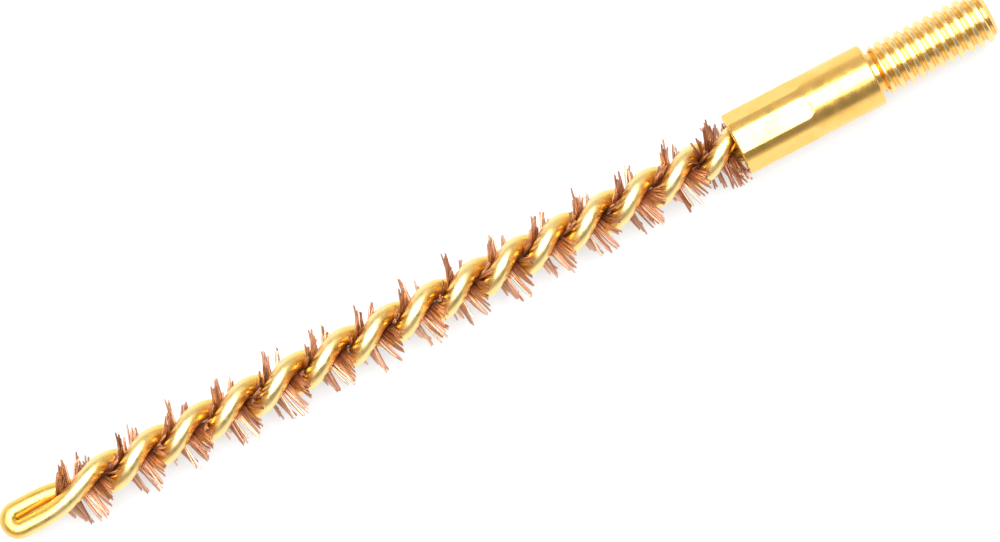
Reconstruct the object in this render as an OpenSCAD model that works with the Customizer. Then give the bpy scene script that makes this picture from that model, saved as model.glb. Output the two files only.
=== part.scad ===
// Small twisted-wire brush with a threaded ferrule.
// One brass wire is bent into a hairpin and its two legs are twisted together, which
// grips a spiral of fine bristle wires. The open ends are crimped into the ferrule.
//
// The brush lies along X. X = 0 is the flat shoulder behind the thread, the thread
// points to +X, and the brush runs to -X and ends in the bend of the hairpin.
// All sizes are in millimetres.

/* [Thread] */
// Outside diameter of the thread
thread_d = 3.15; // [2.9:0.05:3.25]
// Distance from one thread turn to the next
thread_pitch = 0.635; // [0.5:0.005:0.8]
// Number of thread turns
thread_turns = 11; // [6:1:14]
// Length of the plain neck between the shoulder and the thread
neck_l = 0.3; // [0.3:0.05:1]
// Depth of the relief that runs around the neck into the shoulder
relief_depth = 0.1; // [0.05:0.05:0.3]

/* [Ferrule] */
// Diameter of the ferrule
ferrule_d = 3.8; // [3.75:0.05:4.5]
// Length of the ferrule, without its thread
ferrule_l = 8.9; // [8:0.1:9.5]
// Length of the crimped end that grips the wire
crimp_l = 4.9; // [3:0.1:6]
// Distance across the crimp's flats
crimp_flats = 3.58; // [3.4:0.02:3.6]
// Turn of the crimp's flats around the axis
crimp_turn = 30; // [0:0.5:60]
// Depth of the socket that the wire goes into
socket_depth = 6; // [4:0.1:7]

/* [Core wire] */
// Diameter of the core wire
wire_d = 1.14; // [1.1:0.01:1.16]
// Distance from the shoulder to the tip of the hairpin bend
brush_reach = 56.7; // [54.5:0.1:58]
// Length of half a turn of the twist
half_turn = 2.936; // [2.8:0.002:3]

/* [Bristles] */
// Diameter across the bristle tips
brush_d = 4.6; // [4:0.05:5]
// Diameter of one bristle wire
bristle_d = 0.15; // [0.08:0.01:0.15]
// Distance from one bristle wire to the next, along the brush
bristle_spacing = 0.2; // [0.18:0.01:0.4]
// Angle by which the bristles lean towards the ferrule on their +Y side
bristle_lean = 12; // [0:1:14]

/* [Hidden] */
rows = 15;

// Thread: a 60 degree profile with flats of an eighth of the pitch on its crests
thread_angle = 60;
depth_per_pitch = 0.6134;
thread_depth = depth_per_pitch * thread_pitch;
crest_w = thread_pitch / 8;
flank_w = thread_depth * tan(thread_angle / 2);
thread_root_r = thread_d / 2 - thread_depth;
thread_l = thread_turns * thread_pitch;
plain_tip = 0.3;
stud_l = neck_l + thread_l + plain_tip;
end_chamfer = 0.35;
relief_gap = 0.05;
relief_r = thread_d / 2 + relief_gap;

// Ferrule
edge_chamfer = 0.12;
socket_gap = 0.025;
round_fn = 96;
// How far a cutter or a root runs past the face it goes through
overrun = 1;

// Core wire: the legs stand one bristle wire and a hair apart
strand_gap = 0.16;
helix_r = (wire_d + strand_gap) / 2;
core_d = 2 * helix_r + wire_d;
wire_sides = 10;
steps_per_leg = 190;
bend_steps = 12;
wire_end_gap = 0.3;
wire_end_x = -ferrule_l + socket_depth - wire_end_gap;
bend_x = -brush_reach + helix_r + wire_d / 2;

// Twist: a leg crosses the front once in each half turn, and one row of bristles is
// centred on each crossing. The half turns are a little uneven, as on a wound brush,
// and the twist fades out over the last stretch before the bend.
first_crossing = -51.9;
second_crossing = -48.1;
last_row = rows - 1;
unevenness = [0.58, 0.17, -0.1];
fade_power = 1.25;

// Bristles
rows_begin = -53.2;
mouth_gap = 0.55;
rows_end = -ferrule_l - mouth_gap;
bristle_fn = 16;
tip_variation = 0.14;
tip_variation_step = 97;

function row_name(i) = str("bristle_row_", i < 10 ? "0" : "", i);
function limited(v) = min(max(v, 0), 1);

// How far the crossings stand from even spacing, from t = 0 at the second to 1 at the last
function drift(t) = unevenness[0] * sin(180 * t) + unevenness[1] * sin(360 * t)
    + unevenness[2] * sin(540 * t);

// Where a leg crosses the front for the nth time, counted from 0 at the bend
function crossing_x(n) = n < 1 ? first_crossing
    : second_crossing + (n - 1) * half_turn + drift(limited((n - 1) / (last_row - 1)));

// Half turns of twist at x, counted as the crossings are
function half_turns(x) = x < second_crossing ? faded_half_turns(second_crossing - x)
    : 1 + (x - second_crossing - drift(limited(along_rows(x)))) / half_turn;
function along_rows(x) = (x - second_crossing) / (half_turn * (last_row - 1));
function faded_half_turns(s) = 1 - (s - s * pow(limited(s / fade_l), fade_power)
    / (fade_power + 1)) / half_turn;
fade_l = second_crossing - bend_x;

// Angle of the first leg around the X axis, from +Y towards +Z. It falls as x grows,
// which makes the twist left-handed.
function leg_angle(x) = 90 - 180 * half_turns(x);
// Its change per millimetre, in radians
slope_step = 0.01;
function leg_rate(x) = (leg_angle(x + slope_step) - leg_angle(x - slope_step))
    / (2 * slope_step) * PI / 180;

function around_x(a) = [0, cos(a), sin(a)];
function unit(v) = v / norm(v);

// A station on the wire's path: [point, direction towards the hairpin's outside, way along]
function leg_station(x, side, way) =
    let (a = leg_angle(x) + side, out = around_x(a))
    [[x, 0, 0] + helix_r * out, out, way * unit([1, 0, 0] + helix_r * leg_rate(x) * around_x(a + 90))];
function bend_station(b) =
    let (out = -sin(b) * [1, 0, 0] + cos(b) * around_x(leg_angle(bend_x)))
    [[bend_x, 0, 0] + helix_r * out, out, -cos(b) * [1, 0, 0] - sin(b) * around_x(leg_angle(bend_x))];

// A closed tube through the stations
module tube(stations, r, sides) {
    rings = len(stations);
    points = [for (s = stations, i = [0 : sides - 1])
        let (b = 360 * i / sides) s[0] + r * (cos(b) * s[1] + sin(b) * cross(s[2], s[1]))];
    walls = [for (j = [0 : rings - 2], i = [0 : sides - 1])
        let (n = (i + 1) % sides, a = j * sides, b = a + sides)
        each [[a + i, b + i, b + n], [a + i, b + n, a + n]]];
    start_cap = [for (i = [0 : sides - 1]) i];
    end_cap = [for (i = [sides - 1 : -1 : 0]) (rings - 1) * sides + i];
    polyhedron(points, concat([start_cap], walls, [end_cap]), convexity = 10);
}

module core_wire() {
    step = (wire_end_x - bend_x) / steps_per_leg;
    leg_in = [for (i = [0 : steps_per_leg]) leg_station(wire_end_x - i * step, 0, -1)];
    bend = [for (i = [1 : bend_steps - 1]) bend_station(180 * i / bend_steps)];
    leg_out = [for (i = [0 : steps_per_leg]) leg_station(bend_x + i * step, 180, 1)];
    color("goldenrod") tube(concat(leg_in, bend, leg_out), wire_d / 2, wire_sides);
}

module along_x() {
    rotate([0, 90, 0]) children();
}

// Half the section of the stud: its root starts inside the ferrule's body, and each
// turn of the thread is one trapezoid that stands on it
module stud_section() {
    turns = [for (i = [0 : thread_turns - 1])
        let (x = neck_l + (i + 0.5) * thread_pitch)
        each [[thread_root_r, x - crest_w / 2 - flank_w], [thread_d / 2, x - crest_w / 2],
            [thread_d / 2, x + crest_w / 2], [thread_root_r, x + crest_w / 2 + flank_w]]];
    polygon(concat([[0, -overrun], [thread_root_r, -overrun]], turns,
        [[thread_root_r, stud_l], [0, stud_l]]));
}

module stud() {
    intersection() {
        rotate_extrude($fn = round_fn) stud_section();
        union() {
            translate([0, 0, -overrun])
                cylinder(d = thread_d + overrun, h = stud_l - end_chamfer + overrun, $fn = round_fn);
            translate([0, 0, stud_l - end_chamfer])
                cylinder(d1 = thread_d, d2 = thread_d - 2 * end_chamfer, h = end_chamfer, $fn = round_fn);
        }
    }
}

module ferrule_body() {
    r = ferrule_d / 2;
    rotate_extrude($fn = round_fn)
        polygon([[0, -ferrule_l], [r - edge_chamfer, -ferrule_l], [r, -ferrule_l + edge_chamfer],
            [r, -edge_chamfer], [r - edge_chamfer, 0], [relief_r, 0], [relief_r, -relief_depth],
            [0, -relief_depth]]);
}

// What the crimping jaws take off: everything outside a hexagonal bar
module crimp_waste() {
    difference() {
        translate([0, 0, -ferrule_l - overrun])
            cylinder(d = 2 * ferrule_d, h = crimp_l + overrun, $fn = round_fn);
        translate([0, 0, -ferrule_l - 2 * overrun])
            rotate(crimp_turn) cylinder(d = crimp_flats / cos(30), h = crimp_l + 3 * overrun, $fn = 6);
    }
}

module ferrule() {
    color("gold") along_x() difference() {
        union() {
            ferrule_body();
            stud();
        }
        crimp_waste();
        translate([0, 0, -ferrule_l - overrun])
            cylinder(d = core_d + 2 * socket_gap, h = socket_depth + overrun, $fn = round_fn);
    }
}

// A bristle wire crosses the axis between the two legs, square to the line between them
module bristle(x, n) {
    across = around_x(leg_angle(x) + 90);
    way = unit(across + tan(bristle_lean) * across[1] * [1, 0, 0]);
    reach = brush_d / 2 * [1, 1]
        + tip_variation * [sin(tip_variation_step * n), cos(tip_variation_step * n)];
    translate([x, 0, 0] - reach[0] * way)
        rotate([0, acos(way[2]), atan2(way[1], way[0])])
            cylinder(d = bristle_d, h = reach[0] + reach[1], $fn = bristle_fn);
}

module bristle_row(row) {
    from = row == 0 ? rows_begin : (crossing_x(row - 1) + crossing_x(row)) / 2;
    to = row == last_row ? rows_end : (crossing_x(row) + crossing_x(row + 1)) / 2;
    wires = floor((to - from) / bristle_spacing);
    color("peru") for (i = [0 : wires - 1])
        bristle(from + (i + 0.5) * (to - from) / wires, i + wires * row);
}

ferrule();
core_wire();
for (i = [1 : rows]) bristle_row(i - 1);
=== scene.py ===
"""The looks of a small twisted-wire brush with a threaded ferrule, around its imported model.

The brush lies along X: the flat shoulder behind the thread is at X = 0, the thread points
to +X and the brush runs to -X. Every size is in metres.
"""

import math
import random
import bpy
from mathutils import Matrix, Vector


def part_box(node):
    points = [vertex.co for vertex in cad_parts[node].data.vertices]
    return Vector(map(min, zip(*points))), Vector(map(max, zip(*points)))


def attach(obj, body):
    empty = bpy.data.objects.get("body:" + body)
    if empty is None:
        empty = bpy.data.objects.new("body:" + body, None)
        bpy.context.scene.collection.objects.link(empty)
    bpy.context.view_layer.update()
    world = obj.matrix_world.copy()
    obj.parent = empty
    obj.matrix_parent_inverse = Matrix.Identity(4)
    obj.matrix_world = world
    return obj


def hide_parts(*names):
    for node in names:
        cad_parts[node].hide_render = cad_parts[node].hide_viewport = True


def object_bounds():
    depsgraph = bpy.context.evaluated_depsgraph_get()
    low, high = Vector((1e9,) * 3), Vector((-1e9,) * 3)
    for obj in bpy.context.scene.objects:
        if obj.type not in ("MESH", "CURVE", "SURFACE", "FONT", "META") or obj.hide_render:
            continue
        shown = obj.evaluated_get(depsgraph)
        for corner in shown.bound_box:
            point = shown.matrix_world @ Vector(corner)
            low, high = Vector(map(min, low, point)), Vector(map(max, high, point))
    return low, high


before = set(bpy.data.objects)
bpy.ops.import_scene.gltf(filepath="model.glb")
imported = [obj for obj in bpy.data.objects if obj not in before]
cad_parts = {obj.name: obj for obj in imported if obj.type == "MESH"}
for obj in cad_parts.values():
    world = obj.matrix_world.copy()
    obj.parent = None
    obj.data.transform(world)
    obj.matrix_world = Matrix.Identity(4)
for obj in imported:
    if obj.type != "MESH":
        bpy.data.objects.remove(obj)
cad_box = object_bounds()

MM = 0.001
TURN = 2 * math.pi

# Points closer than this count as one; the finer one is for cuts and for the wire
same_point = 1e-7
same_fine_point = 1e-8

# Ferrule
mouth_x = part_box("ferrule")[0].x
stud_end_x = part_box("ferrule")[1].x
ferrule_r = 1.9 * MM
edge_r = 0.14 * MM
edge_steps = 4
lathe_sides = 144

# Crimp: flats pressed on the end that grips the wire
crimp_sides = 6
crimp_flat_r = 1.79 * MM
crimp_end_x = mouth_x + 4.9 * MM
crimp_runout = 0.55 * MM
runout_begin_x = crimp_end_x - crimp_runout
runout_steps = 12
# One more ring of points along the flats, and how far the rings that are pressed reach
crimp_ring_x = runout_begin_x - 2 * MM
last_pressed_x = crimp_end_x + MM
ring_decimals = 8

# Socket: drilled, with a belled lip; the bend of the lip is (from the mouth, from the wall)
socket_r = 1.245 * MM
socket_end_x = mouth_x + 6 * MM
drill_point_l = 0.5 * MM
drill_point_r = 0.05 * MM
lip_l = 0.16 * MM
lip_r = 0.12 * MM
lip_bend = (0.05 * MM, 0.04 * MM)

# Neck, and the relief around it in the shoulder
relief_r = 1.62 * MM
relief_depth = 0.1 * MM
relief_taper = 0.03 * MM
relief_corner = 0.05 * MM
neck_r = 1.2 * MM
neck_end_x = 0.3 * MM

# Thread: its rod is made longer than the stud and cut off at both ends
thread_pitch = 0.635 * MM
thread_r = 1.575 * MM
thread_root_r = 1.29 * MM
crest_share = 0.3
root_share = 0.1
flank_softness = 0.18
top_crest_x = 0.55 * MM
rod_turns = 13
hair = 0.02 * MM
thread_begin_x = neck_end_x + hair
run_in_x = neck_end_x + 0.35 * MM
run_in_drop = 0.15 * MM
cutter_spare = 0.1 * MM

# Stud's end: a chamfer with a soft edge, whose points are (from the end, from the chamfer's
# inner radius)
end_chamfer = 0.35 * MM
end_edge = ((0.05 * MM, 0.04 * MM), (0.012 * MM, -0.03 * MM), (0, -0.12 * MM))

# The ferrule's core, which runs from the neck into the thread, just inside its roots
core_r = thread_root_r - 0.04 * MM
core_slope = (neck_end_x + 0.1 * MM, neck_end_x + 0.15 * MM)
core_end_x = neck_end_x + 0.5 * MM

# Core wire
wire_r = 0.57 * MM
helix_r = 0.65 * MM
bend_r = 0.585 * MM
wire_end_x = mouth_x + 5.7 * MM
bend_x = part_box("core_wire")[0].x + wire_r + bend_r
wire_step = 0.16 * MM
bend_steps = 16
wire_sides = 20

# Twist: where the first leg crosses the front, counted from 0 at the bend
half_turn = 2.936 * MM
first_crossing = -51.9 * MM
second_crossing = -48.1 * MM
rows = 15
last_row = rows - 1
unevenness = (0.58 * MM, 0.17 * MM, -0.1 * MM)
fade_l = second_crossing - bend_x
fade_power = 1.25

# Bristles
rows_begin = -53.2 * MM
rows_end = mouth_x - 0.3 * MM
brush_r = 2.3 * MM
longest_reach = 2.43 * MM
lower_reach = 1.06
bristle_pitch = 0.085 * MM
bristle_r = 0.066 * MM
bristle_sides = 6
bristle_segments = 5
bristle_bends = (6, 12, 20, 30, 44)
bend_power = 1.3
tip_share = 0.75
cut_slant = 0.05 * MM
cut_margin = 0.01 * MM

# Gathering: the tips of a row draw to two spikes above and two clumps below, given along X
# from the row's centre, and the bristles between them are stroked along the twist's valley
upper_spikes = (0.2 * MM, 0.95 * MM)
lower_clumps = (-0.05 * MM, 1 * MM)
upper_gather = 0.75
lower_gather = 0.5
stroke_way = Vector((0.55, 0.8, 0))
stroke_share = 0.42
front_sweep = 0.6 * MM

# The last row, at the ferrule's mouth, is crowded and tangled, and its bristles are darkened with
# painted shade
mouth_crowd = 1.7
mouth_mess = 0.7 * MM
mouth_shade = 0.35
mouth_gap = 0.06 * MM

# Chance in the bristles: the least and the most, or one value for either way
chance_seed = 7
clump_choice = (2, 3, 3, 4)
clump_shift = 0.12 * MM
clump_reach = (0.9, 1.06)
clump_tone = (0.1, 0.9)
upper_closing = (0.1, 0.5)
lower_closing = (0.5, 1)
own_reach = (0.8, 1.03)
short_chance = 0.35
short_reach = (0.6, 0.95)
tip_swing = 0.05
bow_swing = 0.7
tone_swing = 0.15

# Colours, in linear light
fresh_brass = (0.94, 0.58, 0.17, 1)
aged_brass = (0.91, 0.54, 0.13, 1)
speck_brown = (0.50, 0.27, 0.09, 1)
# Painted shade: darker brown in the thread's roots
root_shade_brown = (0.6, 0.34, 0.1, 1)
# Lighter gold on the thread's crests: wear and a painted highlight
crest_wear_and_sheen_gold = (0.97, 0.78, 0.42, 1)
fresh_wire = (0.95, 0.62, 0.15, 1)
streaked_wire = (0.92, 0.56, 0.12, 1)
tarnish_brown = (0.76, 0.45, 0.1, 1)
# Lighter gold on the legs' outer ridges: wear and a painted highlight
ridge_wear_and_sheen_gold = (0.97, 0.79, 0.42, 1)
# Painted shade: darker brown on the wire near the axis, in the twist's valleys
axis_shade_brown = (0.52, 0.31, 0.1, 1)
dark_bronze = (0.42, 0.19, 0.11, 1)
light_bronze = (0.92, 0.56, 0.39, 1)
shaded_bronze = (0.33, 0.15, 0.09, 1)
floor_grey = (0.34, 0.34, 0.34, 1)
white = (1, 1, 1, 1)

# Where a finish, a painted shade or a painted highlight changes with the distance from the axis, or on
# the thread with X, in millimetres
root_shade_span = (thread_root_r / MM + 0.02, thread_root_r / MM + 0.2)
crest_wear_and_sheen_span = (thread_root_r / MM - 0.25, thread_r / MM)
thread_starts = (0.1, 0.3)
ridge_wear_and_sheen_span = (0.98, 1.2)
axis_shade_span = (0.3, 0.85)
shaded_bristles = (0.8, 1.7)

# Spans that most values of a noise fall in
noise_span = (0.3, 0.7)
narrow_noise_span = (0.35, 0.65)

# Floor
floor_z = cad_box[0].z
floor_size = 4
floor_roughness = 0.8
floor_glow = 0.55

# World: brighter towards the horizon, and above it brighter on the +Y side than on the -Y side.
# Heights and sides are the Z and Y of the way one looks, as a vector of length 1.
horizon_heights = (0.1, 0.45)
horizon_strength = 0.8
upper_sides = (-0.6, 0.6)
upper_strengths = (0.3, 0.62)

# The point that the camera and the lights are aimed at
middle = Vector((-24.31 * MM, -0.145 * MM, 0))

# Camera: it looks straight down, and is turned around its own axis by camera_turn degrees
camera_distance = 320.8 * MM
camera_turn = -27.57
camera_lens = 200
camera_sensor = 36
camera_clip = (0.01, 20)


# The way of the wire

def limited(value):
    """Holds a value between 0 and 1."""
    return min(max(value, 0), 1)


def drift(t):
    """How far the crossings stand from even spacing, from t = 0 at the second to 1 at the last."""
    return sum(size * math.sin((n + 1) * math.pi * t) for n, size in enumerate(unevenness))


def crossing_x(n):
    if n < 1:
        return first_crossing
    return second_crossing + (n - 1) * half_turn + drift(limited((n - 1) / (last_row - 1)))


def half_turns(x):
    """Half turns of twist at x, counted as the crossings are."""
    s = x - second_crossing
    if s < 0:
        return 1 + (s - s * limited(-s / fade_l) ** fade_power / (fade_power + 1)) / half_turn
    return 1 + (s - drift(limited(s / (half_turn * (last_row - 1))))) / half_turn


def leg_angle(x):
    """Angle of the first leg around X, from +Y towards +Z."""
    return math.pi / 2 - math.pi * half_turns(x)


def leg_r(x):
    """Distance of a leg from the axis: the legs close up between the bristles and the bend."""
    t = limited((x - bend_x) / (rows_begin - bend_x))
    return bend_r + (helix_r - bend_r) * t * t * (3 - 2 * t)


def around_x(angle):
    return Vector((0, math.cos(angle), math.sin(angle)))


# Modelling helpers

def deselect():
    bpy.ops.object.select_all(action="DESELECT")


def pick(piece):
    """Selects one piece alone and makes it the active one."""
    deselect()
    piece.select_set(True)
    bpy.context.view_layer.objects.active = piece


def edit(piece):
    """Opens edit mode on one piece alone."""
    pick(piece)
    bpy.ops.object.mode_set(mode="EDIT")
    bpy.ops.mesh.select_mode(type="VERT")


def leave_edit():
    bpy.ops.object.mode_set(mode="OBJECT")


def select_vertices(piece, wanted):
    """In edit mode, selects the vertices whose place passes the test."""
    bpy.ops.mesh.select_all(action="DESELECT")
    leave_edit()
    for vertex in piece.data.vertices:
        vertex.select = wanted(vertex.co)
    bpy.ops.object.mode_set(mode="EDIT")


def merge_doubles(threshold):
    """In edit mode, makes one of all points that share a place."""
    bpy.ops.mesh.select_all(action="SELECT")
    bpy.ops.mesh.remove_doubles(threshold=threshold)


def face_outwards():
    """In edit mode, turns every face outwards."""
    bpy.ops.mesh.select_all(action="SELECT")
    bpy.ops.mesh.normals_make_consistent(inside=False)


def turned(name, profile):
    """A closed round piece on the X axis, with one ring for each (x, radius) of its profile."""
    deselect()
    x, radius = profile[0]
    bpy.ops.mesh.primitive_circle_add(vertices=lathe_sides, radius=radius, fill_type="NGON",
                                      location=(x, 0, 0), rotation=(0, math.pi / 2, 0))
    piece = bpy.context.object
    piece.name = name
    bpy.ops.object.transform_apply(location=True, rotation=True, scale=True)
    edit(piece)
    bpy.ops.mesh.select_all(action="SELECT")
    for (x0, r0), (x1, r1) in zip(profile, profile[1:]):
        bpy.ops.mesh.extrude_region_move(TRANSFORM_OT_translate={"value": (x1 - x0, 0, 0)})
        bpy.ops.transform.resize(value=(1, r1 / r0, r1 / r0), center_override=(x1, 0, 0))
    face_outwards()
    leave_edit()
    return piece


def rounded_edge(x, x_way):
    """Points of the ferrule's rounded edge, from its outside to the flat at x."""
    points = []
    for i in range(edge_steps + 1):
        a = math.pi / 2 * i / edge_steps
        points.append((x + x_way * edge_r * (1 - math.sin(a)), ferrule_r - edge_r * (1 - math.cos(a))))
    return points


def apply_modifier(piece, kind, **settings):
    pick(piece)
    modifier = piece.modifiers.new(kind.lower(), kind)
    for key, value in settings.items():
        setattr(modifier, key, value)
    bpy.ops.object.modifier_apply(modifier=modifier.name)


def shade(piece, angle):
    """Smooth shading, with sharp edges where faces meet at more than the angle, in degrees."""
    pick(piece)
    bpy.ops.object.shade_smooth_by_angle(angle=math.radians(angle))


# Materials

def add_node(material, kind, settings=None, inputs=None):
    """Adds a shader node; an input given as a socket is linked, any other is set."""
    made = material.node_tree.nodes.new("ShaderNode" + kind)
    for key, value in (settings or {}).items():
        setattr(made, key, value)
    for key, value in (inputs or {}).items():
        if isinstance(value, bpy.types.NodeSocket):
            connect(material, value, made.inputs[key])
        else:
            made.inputs[key].default_value = value
    return made


def connect(material, output, target):
    material.node_tree.links.new(output, target)


def new_material(name):
    material = bpy.data.materials.new(name)
    material.use_nodes = True
    return material, material.node_tree.nodes["Principled BSDF"]


def new_metal(name):
    material, shader = new_material(name)
    shader.inputs["Metallic"].default_value = 1
    return material, shader


def place_in_mm(material, stretch=(1, 1, 1)):
    """Object coordinates in millimetres, stretched along each axis."""
    place = add_node(material, "TexCoord").outputs["Object"]
    scale = [s / MM for s in stretch]
    return add_node(material, "Mapping", inputs={"Vector": place, "Scale": scale}).outputs[0]


def noise(material, place, scale, detail=3, roughness=0.5):
    made = add_node(material, "TexNoise", inputs={
        "Vector": place, "Scale": scale, "Detail": detail, "Roughness": roughness})
    return made.outputs["Fac"]


def map_range(material, value, span, new_span):
    """Maps a value from one span to another, and holds it at the ends of the new one."""
    made = add_node(material, "MapRange", inputs={
        "Value": value, "From Min": span[0], "From Max": span[1],
        "To Min": new_span[0], "To Max": new_span[1]})
    return made.outputs["Result"]


def fade_in(material, value, span, most=1):
    """0 below the span, and the most above it."""
    return map_range(material, value, span, (0, most))


def fade_out(material, value, span, most):
    """The most below the span, and 0 above it."""
    return map_range(material, value, span, (most, 0))


def mix_colour(material, factor, first, second):
    """The first colour where the factor is 0, and the second where it is 1."""
    made = add_node(material, "Mix", settings={"data_type": "RGBA"},
                    inputs={0: factor, 6: first, 7: second})
    return made.outputs[2]


def axis_distance(material):
    """Distance from the brush's axis, in millimetres."""
    split = add_node(material, "SeparateXYZ", inputs={"Vector": place_in_mm(material)})
    flat = add_node(material, "CombineXYZ", inputs={"Y": split.outputs["Y"], "Z": split.outputs["Z"]})
    length = add_node(material, "VectorMath", settings={"operation": "LENGTH"},
                      inputs={0: flat.outputs[0]})
    return length.outputs["Value"]


def add_roughness(material, shader, wear, least, most):
    rough = map_range(material, wear, noise_span, (least, most))
    connect(material, rough, shader.inputs["Roughness"])


def add_bump(material, shader, height, depth, strength):
    bump = add_node(material, "Bump", inputs={
        "Height": height, "Distance": depth, "Strength": strength})
    connect(material, bump.outputs["Normal"], shader.inputs["Normal"])


def turned_brass():
    """Bright brass off the lathe: fine rings, faint patches, specks, painted shade in the thread's
    roots, and crests lighter from wear and a painted highlight.
    """
    material, shader = new_metal("turned_brass")
    place = place_in_mm(material)
    distance = axis_distance(material)
    patches = fade_in(material, noise(material, place, scale=0.8), narrow_noise_span)
    colour = mix_colour(material, patches, fresh_brass, aged_brass)
    spots = noise(material, place, scale=4.5, detail=4, roughness=0.6)
    specks = fade_in(material, spots, span=(0.64, 0.72), most=0.45)
    colour = mix_colour(material, specks, colour, speck_brown)
    # Painted shade: the thread's roots are darkened
    roots = fade_out(material, distance, root_shade_span, most=0.1)
    colour = mix_colour(material, roots, colour, root_shade_brown)
    x = add_node(material, "SeparateXYZ", inputs={"Vector": place}).outputs["X"]
    on_thread = fade_in(material, x, thread_starts, most=0.55)
    # Partly wear and partly a painted highlight: the thread's crests are lightened
    crest_wear_and_sheen = fade_in(material, distance, crest_wear_and_sheen_span, most=on_thread)
    colour = mix_colour(material, crest_wear_and_sheen, colour, crest_wear_and_sheen_gold)
    connect(material, colour, shader.inputs["Base Color"])
    dull = noise(material, place, scale=1.6, detail=4)
    add_roughness(material, shader, dull, least=0.2, most=0.32)
    rings = noise(material, place_in_mm(material, stretch=(14, 0.5, 0.5)), scale=1, detail=2)
    add_bump(material, shader, rings, depth=0.012 * MM, strength=0.5)
    return material


def drawn_brass():
    """Bright drawn wire: streaks along it, tarnished patches, outer ridges lighter from wear and a
    painted highlight, and painted shade near the axis.
    """
    material, shader = new_metal("drawn_brass")
    place = place_in_mm(material)
    distance = axis_distance(material)
    along = add_node(material, "UVMap", settings={"uv_map": "wire_map"}).outputs["UV"]
    stretched = add_node(material, "Mapping", inputs={"Vector": along, "Scale": (0.45, 9, 1)})
    streaks = noise(material, stretched.outputs[0], scale=1, detail=4, roughness=0.6)
    colour = mix_colour(material, fade_in(material, streaks, noise_span), fresh_wire, streaked_wire)
    stains = noise(material, place, scale=1.3, detail=4, roughness=0.6)
    tarnish = fade_in(material, stains, span=(0.55, 0.75), most=0.5)
    colour = mix_colour(material, tarnish, colour, tarnish_brown)
    # Partly wear and partly a painted highlight: the legs' outer ridges are lightened
    ridge_wear_and_sheen = fade_in(material, distance, ridge_wear_and_sheen_span, most=0.6)
    colour = mix_colour(material, ridge_wear_and_sheen, colour, ridge_wear_and_sheen_gold)
    # Painted shade: the wire is darkened near the axis, in the twist's valleys
    axis_shade = fade_out(material, distance, axis_shade_span, most=0.3)
    colour = mix_colour(material, axis_shade, colour, axis_shade_brown)
    connect(material, colour, shader.inputs["Base Color"])
    dull = noise(material, place, scale=2.2, detail=4)
    add_roughness(material, shader, dull, least=0.23, most=0.4)
    add_bump(material, shader, streaks, depth=0.016 * MM, strength=0.6)
    return material


def bristle_bronze():
    """Fine reddish bronze wire: each strand has its own tone, darker near the core."""
    material, shader = new_metal("bristle_bronze")
    tone = add_node(material, "Attribute", settings={"attribute_name": "strand_tone"}).outputs["Fac"]
    colour = mix_colour(material, tone, dark_bronze, light_bronze)
    shaded = fade_out(material, axis_distance(material), shaded_bristles, most=0.5)
    colour = mix_colour(material, shaded, colour, shaded_bronze)
    connect(material, colour, shader.inputs["Base Color"])
    wear = noise(material, place_in_mm(material), scale=6)
    add_roughness(material, shader, wear, least=0.36, most=0.52)
    add_bump(material, shader, wear, depth=0.01 * MM, strength=0.4)
    return material


def floor_paint():
    """Matt grey that glows a little, as a light table does."""
    material, shader = new_material("floor_paint")
    shader.inputs["Base Color"].default_value = floor_grey
    shader.inputs["Roughness"].default_value = floor_roughness
    shader.inputs["Emission Color"].default_value = white
    shader.inputs["Emission Strength"].default_value = floor_glow
    return material


def finish_piece(piece, material, node):
    """Gives a finished piece its material, hangs it on the root body and hides the part that it
    replaces.
    """
    piece.data.materials.clear()
    piece.data.materials.append(material)
    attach(piece, "root")
    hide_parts(node)


# Ferrule

def ferrule_profile():
    """From the socket's floor, out over its mouth and along the outside to the neck and core."""
    points = [(socket_end_x + drill_point_l, drill_point_r), (socket_end_x, socket_r)]
    points += [(mouth_x + lip_l, socket_r), (mouth_x + lip_bend[0], socket_r + lip_bend[1])]
    points += [(mouth_x, socket_r + lip_r)]
    points += rounded_edge(mouth_x, 1)[::-1]
    points += [(crimp_ring_x, ferrule_r)]
    points += [(runout_begin_x + crimp_runout * i / runout_steps, ferrule_r)
               for i in range(runout_steps + 2)]
    points += rounded_edge(0, -1)
    points += [(0, relief_r), (-relief_depth, relief_r - relief_taper)]
    points += [(-relief_depth, neck_r + relief_corner), (-relief_depth + relief_corner, neck_r)]
    points += [(core_slope[0], neck_r), (core_slope[1], core_r), (core_end_x, core_r)]
    return points


def crimp(body):
    """Presses the flats one by one, each running out towards the middle of the ferrule."""
    # Where each ring of the outside stands, and its radius
    rings = {}
    for v in body.data.vertices:
        if v.co.x < last_pressed_x and v.co.yz.length > relief_r:
            rings[round(v.co.x, ring_decimals)] = v.co.yz.length
    for side in range(crimp_sides):
        turn = Matrix.Rotation(TURN * side / crimp_sides, 4, "X")
        body.data.transform(turn)
        edit(body)
        for x, radius in rings.items():
            t = limited((x - runout_begin_x) / crimp_runout)
            flat = radius - (ferrule_r - crimp_flat_r) * (1 - t * t)
            select_vertices(body, lambda co: abs(co.x - x) < same_point and co.z > flat
                            and co.yz.length > relief_r)
            bpy.ops.transform.resize(value=(1, 1, 0), center_override=(x, 0, flat))
        leave_edit()
        body.data.transform(turn.inverted())


def thread_section():
    """Steps (along X, outwards) over one turn of thread: root, soft flank, crest, soft flank."""
    crest = crest_share * thread_pitch
    root = root_share * thread_pitch
    flank = (thread_pitch - crest - root) / 2
    rise = thread_r - thread_root_r
    ease = (flank * flank_softness, rise * flank_softness / 2)
    climb = (flank * (1 - 2 * flank_softness), rise * (1 - flank_softness))
    down = [(dx, -dr) for dx, dr in (ease, climb, ease)]
    return [(root, 0), ease, climb, ease, (crest, 0), *down]


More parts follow.
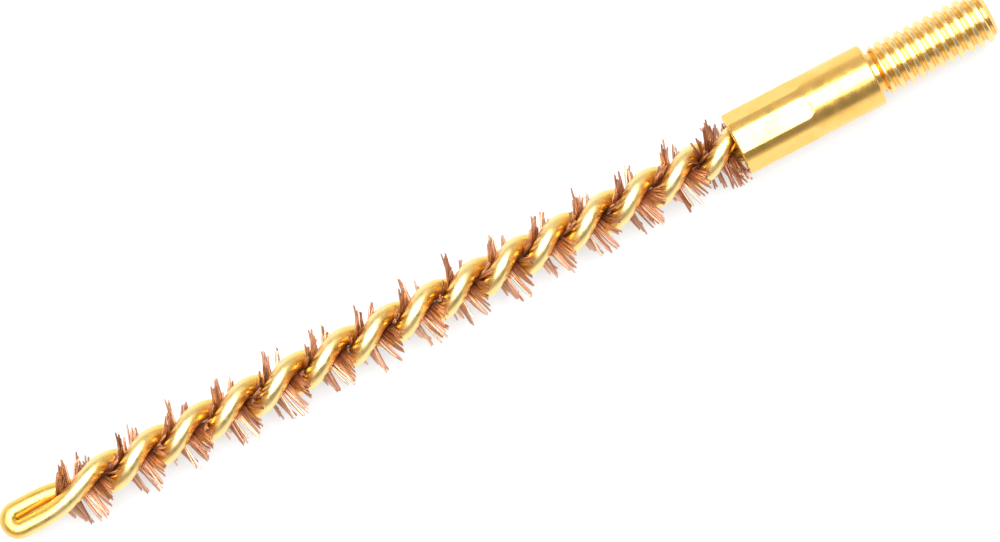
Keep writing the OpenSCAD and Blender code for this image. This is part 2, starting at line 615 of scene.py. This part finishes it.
def thread_rod():
    """A right-hand thread: the section of one turn, carried along a helix and cut off square."""
    deselect()
    steps = thread_section()
    start_x = top_crest_x - thread_pitch - sum(dx for dx, dr in steps[:4]) - steps[4][0] / 2
    bpy.ops.mesh.primitive_plane_add(size=MM, location=(start_x, 0, thread_root_r))
    rod = bpy.context.object
    bpy.ops.object.transform_apply(location=True, rotation=True, scale=True)
    edit(rod)
    bpy.ops.mesh.select_all(action="SELECT")
    bpy.ops.mesh.merge(type="CENTER")
    for dx, dr in steps:
        bpy.ops.mesh.extrude_region_move(TRANSFORM_OT_translate={"value": (dx, 0, dr)})
    leave_edit()
    apply_modifier(rod, "SCREW", axis="X", angle=TURN, screw_offset=thread_pitch,
                   iterations=rod_turns, steps=lathe_sides, render_steps=lathe_sides)
    edit(rod)
    merge_doubles(same_point)
    for x, way in ((thread_begin_x, -1), (stud_end_x, 1)):
        bpy.ops.mesh.select_all(action="SELECT")
        bpy.ops.mesh.bisect(plane_co=(x, 0, 0), plane_no=(way, 0, 0), clear_outer=True,
                            use_fill=True, threshold=same_fine_point)
    face_outwards()
    leave_edit()
    return rod


def thread_envelope():
    """The solid that the thread is cut down to: it runs in at the neck and ends in the chamfer."""
    wide_r = thread_r + cutter_spare
    chamfer_x = stud_end_x - end_chamfer
    chamfer_r = thread_r - end_chamfer
    points = [(neck_end_x - cutter_spare, thread_root_r - run_in_drop)]
    points += [(thread_begin_x, thread_root_r + hair), (run_in_x, wide_r)]
    points += [(chamfer_x - cutter_spare, wide_r), (chamfer_x, thread_r - hair)]
    points += [(stud_end_x - back, chamfer_r + out) for back, out in end_edge]
    return turned("envelope", points)


def build_ferrule(material):
    body = turned("threaded_ferrule", ferrule_profile())
    crimp(body)
    rod = thread_rod()
    envelope = thread_envelope()
    apply_modifier(rod, "BOOLEAN", operation="INTERSECT", object=envelope, solver="EXACT")
    apply_modifier(body, "BOOLEAN", operation="UNION", object=rod, solver="EXACT")
    for spent in (rod, envelope):
        bpy.data.objects.remove(spent)
    edit(body)
    merge_doubles(same_point)
    leave_edit()
    shade(body, angle=32)
    finish_piece(body, material, "ferrule")


# Core wire

def wire_way():
    """Points down the first leg, round the bend and back up the second."""
    steps = round((wire_end_x - bend_x) / wire_step)
    leg = [bend_x + (wire_end_x - bend_x) * i / steps for i in range(steps + 1)]
    points = [Vector((x, 0, 0)) + leg_r(x) * around_x(leg_angle(x)) for x in leg[::-1]]
    across = around_x(leg_angle(bend_x))
    for i in range(1, bend_steps):
        b = math.pi * i / bend_steps
        points.append(Vector((bend_x - bend_r * math.sin(b), 0, 0)) + bend_r * math.cos(b) * across)
    points += [Vector((x, 0, 0)) - leg_r(x) * around_x(leg_angle(x)) for x in leg]
    return points


def map_wire(wire, points):
    """Gives the wire a map in millimetres: along it, then around it."""
    lengths = [0]
    for a, b in zip(points, points[1:]):
        lengths.append(lengths[-1] + (b - a).length)
    layer = wire.data.uv_layers.new(name="wire_map")
    for loop in wire.data.loops:
        ring, side = divmod(loop.vertex_index, wire_sides)
        ring = min(ring, len(points) - 1)
        around = side if side < wire_sides / 2 else wire_sides - side
        layer.data[loop.index].uv = (lengths[ring] / MM, around * TURN * wire_r / wire_sides / MM)


def build_core_wire(material):
    points = wire_way()
    curve = bpy.data.curves.new("twisted_core_wire", "CURVE")
    curve.dimensions = "3D"
    curve.bevel_depth = wire_r
    # A bevel has four sides, and two more for each step of its resolution
    curve.bevel_resolution = (wire_sides - 4) // 2
    curve.use_fill_caps = True
    spline = curve.splines.new("POLY")
    spline.points.add(len(points) - 1)
    for point, place in zip(spline.points, points):
        point.co = (*place, 1)
    wire = bpy.data.objects.new("twisted_core_wire", curve)
    bpy.context.scene.collection.objects.link(wire)
    pick(wire)
    bpy.ops.object.convert(target="MESH")
    wire = bpy.context.object
    edit(wire)
    merge_doubles(same_fine_point)
    face_outwards()
    leave_edit()
    map_wire(wire, points)
    shade(wire, angle=40)
    finish_piece(wire, material, "core_wire")


# Bristles

def bristle_master(number, bend):
    """One bristle, 1 mm long, from the axis along +Z, bent towards +X, with a slanted cut."""
    deselect()
    bpy.ops.mesh.primitive_circle_add(vertices=bristle_sides, radius=bristle_r, fill_type="NGON")
    master = bpy.context.object
    master.name = f"bristle_master_{number}"
    edit(master)
    bpy.ops.mesh.select_all(action="SELECT")
    end = Vector((0, 0, 0))
    for i in range(bristle_segments):
        lean = bend * (i / bristle_segments) ** bend_power
        way = Vector((math.sin(lean), 0, math.cos(lean))) * (MM / bristle_segments)
        end += way
        bpy.ops.mesh.extrude_region_move(TRANSFORM_OT_translate={"value": way})
    bpy.ops.transform.resize(value=(tip_share, tip_share, 1), center_override=end)
    select_vertices(master, lambda co: co.z > end.z - same_point and co.x > end.x + cut_margin)
    bpy.ops.transform.translate(value=(0, 0, -cut_slant))
    face_outwards()
    leave_edit()
    return master


def plant(master, root, tip, bow, tone, name):
    """A copy of a master bristle that starts at root, aims at tip and bows the given way."""
    along = tip - root
    length = along.length
    up = along.normalized()
    side = (bow - bow.dot(up) * up).normalized()
    placing = Matrix((side, up.cross(side), up * length / MM)).transposed().to_4x4()
    placing.translation = root
    piece = bpy.data.objects.new(name, master.data.copy())
    piece.data.transform(placing)
    strand = piece.data.attributes.new("strand_tone", "FLOAT", "POINT")
    strand.data.foreach_set("value", [tone] * len(piece.data.vertices))
    bpy.context.scene.collection.objects.link(piece)
    return piece


def clump_sizes(count, dice):
    """Splits a count of bristles into small clumps; the last takes what is left."""
    sizes = []
    while sum(sizes) < count:
        sizes.append(min(dice.choice(clump_choice), count - sum(sizes)))
    return sizes


def bristle_clump(row, centre, side, clump_x, places, masters, dice):
    """A few bristles that lean together, from the given places on one side of the axis."""
    clump_angle = leg_angle(clump_x) + math.pi / 2 + side
    height = around_x(clump_angle).y
    upper = height > 0
    goals = upper_spikes if upper else lower_clumps
    goal = centre + goals[clump_x > centre]
    pull = abs(height) * (upper_gather if upper else lower_gather)
    stroke = dice.uniform(-1, 1) * stroke_share * (1 - abs(height)) * brush_r * stroke_way
    stroke.x += dice.uniform(-clump_shift, clump_shift)
    reach = brush_r * dice.uniform(*clump_reach)
    if not upper:
        stroke.x += front_sweep * max(around_x(clump_angle).z, 0)
        reach *= lower_reach
    tone = dice.uniform(*clump_tone)
    if row == last_row:
        stroke += mouth_mess * Vector((dice.uniform(-1, 1), dice.uniform(-1, 1), 0))
        # Painted shade: the bristles at the ferrule's mouth are darkened
        tone *= mouth_shade
        reach = longest_reach
    closing = dice.uniform(*(upper_closing if upper else lower_closing))
    pieces = []
    for x in places:
        angle = leg_angle(x) + math.pi / 2 + side
        tip_angle = clump_angle + (angle - clump_angle) * closing + dice.uniform(-tip_swing, tip_swing)
        own = min(reach * dice.uniform(*own_reach), longest_reach)
        if upper and (clump_x > centre or dice.random() < short_chance):
            own *= dice.uniform(*short_reach)
        tip_x = clump_x + pull * (goal - clump_x) + (x - clump_x) * closing + stroke.x
        tip = own * around_x(tip_angle) + Vector((0, stroke.y, 0))
        tip *= own / tip.length
        tip.x = min(tip_x, mouth_x - mouth_gap)
        bow = Vector([dice.uniform(-bow_swing, bow_swing) for axis in range(3)])
        if row < last_row:
            bow.x += 1
        master = dice.choice(masters)
        own_tone = limited(tone + dice.uniform(-tone_swing, tone_swing))
        pieces.append(plant(master, Vector((x, 0, 0)), tip, bow, own_tone, f"bristles_{row + 1:02d}"))
    return pieces


def bristle_row(row, masters, material, dice):
    """Half a turn of bristles, on both sides of the axis, joined to one piece."""
    begin = rows_begin if row == 0 else (crossing_x(row - 1) + crossing_x(row)) / 2
    end = rows_end if row == last_row else (crossing_x(row) + crossing_x(row + 1)) / 2
    centre = min(crossing_x(row), (begin + end) / 2)
    crowd = mouth_crowd if row == last_row else 1
    count = round(crowd * (end - begin) / bristle_pitch)
    step = (end - begin) / count
    pieces = []
    for side in (0, math.pi):
        planted = 0
        for clump in clump_sizes(count, dice):
            clump_x = begin + (planted + clump / 2) * step
            places = [begin + (planted + i + 0.5) * step for i in range(clump)]
            pieces += bristle_clump(row, centre, side, clump_x, places, masters, dice)
            planted += clump
    pick(pieces[0])
    for piece in pieces:
        piece.select_set(True)
    bpy.ops.object.join()
    joined = bpy.context.object
    joined.name = f"bristles_{row + 1:02d}"
    shade(joined, angle=50)
    finish_piece(joined, material, f"bristle_row_{row + 1:02d}")


def build_bristles(material):
    dice = random.Random(chance_seed)
    masters = [bristle_master(n, math.radians(bend)) for n, bend in enumerate(bristle_bends)]
    for row in range(rows):
        bristle_row(row, masters, material, dice)
    for master in masters:
        bpy.data.objects.remove(master)


# Floor, light and camera

def lay_floor():
    deselect()
    bpy.ops.mesh.primitive_plane_add(size=floor_size, location=(middle.x, middle.y, floor_z))
    floor = bpy.context.object
    floor.name = "floor"
    bpy.ops.object.transform_apply(location=True, rotation=True, scale=True)
    floor.data.materials.append(floor_paint())


def soft_box(name, from_vertical, distance, width, height, radiance):
    """An even panel of light, turned about X from straight above towards +Y, that faces the brush."""
    angle = math.radians(from_vertical)
    light = bpy.data.lights.new(name, "AREA")
    light.shape = "RECTANGLE"
    light.size = width
    light.size_y = height
    light.energy = radiance * math.pi * width * height
    lamp = bpy.data.objects.new(name, light)
    lamp.location = middle + distance * Vector((0, math.sin(angle), math.cos(angle)))
    lamp.rotation_euler = (-angle, 0, 0)
    bpy.context.scene.collection.objects.link(lamp)


def set_light():
    soft_box("large_soft_box", from_vertical=11.5, distance=1.2, width=1.4, height=1.1, radiance=6.6)
    soft_box("low_card", from_vertical=-80, distance=1.4, width=2.4, height=0.55, radiance=0.4)
    world = bpy.data.worlds.new("studio")
    bpy.context.scene.world = world
    world.use_nodes = True
    background = world.node_tree.nodes["Background"]
    background.inputs["Color"].default_value = white
    way = add_node(world, "TexCoord").outputs["Generated"]
    split = add_node(world, "SeparateXYZ", inputs={"Vector": way})
    above = map_range(world, split.outputs["Y"], upper_sides, upper_strengths)
    strength = map_range(world, split.outputs["Z"], horizon_heights, (horizon_strength, above))
    connect(world, strength, background.inputs["Strength"])


def set_camera():
    camera = bpy.data.cameras.new("camera")
    camera.lens = camera_lens
    camera.sensor_width = camera_sensor
    camera.clip_start, camera.clip_end = camera_clip
    holder = bpy.data.objects.new("camera", camera)
    holder.location = middle + Vector((0, 0, camera_distance))
    holder.rotation_euler = (0, 0, math.radians(camera_turn))
    bpy.context.scene.collection.objects.link(holder)
    bpy.context.scene.camera = holder


set_camera()
set_light()
lay_floor()
build_ferrule(turned_brass())
build_core_wire(drawn_brass())
build_bristles(bristle_bronze())

bpy.context.scene.view_settings.view_transform = "Standard"
bpy.context.view_layer.update()
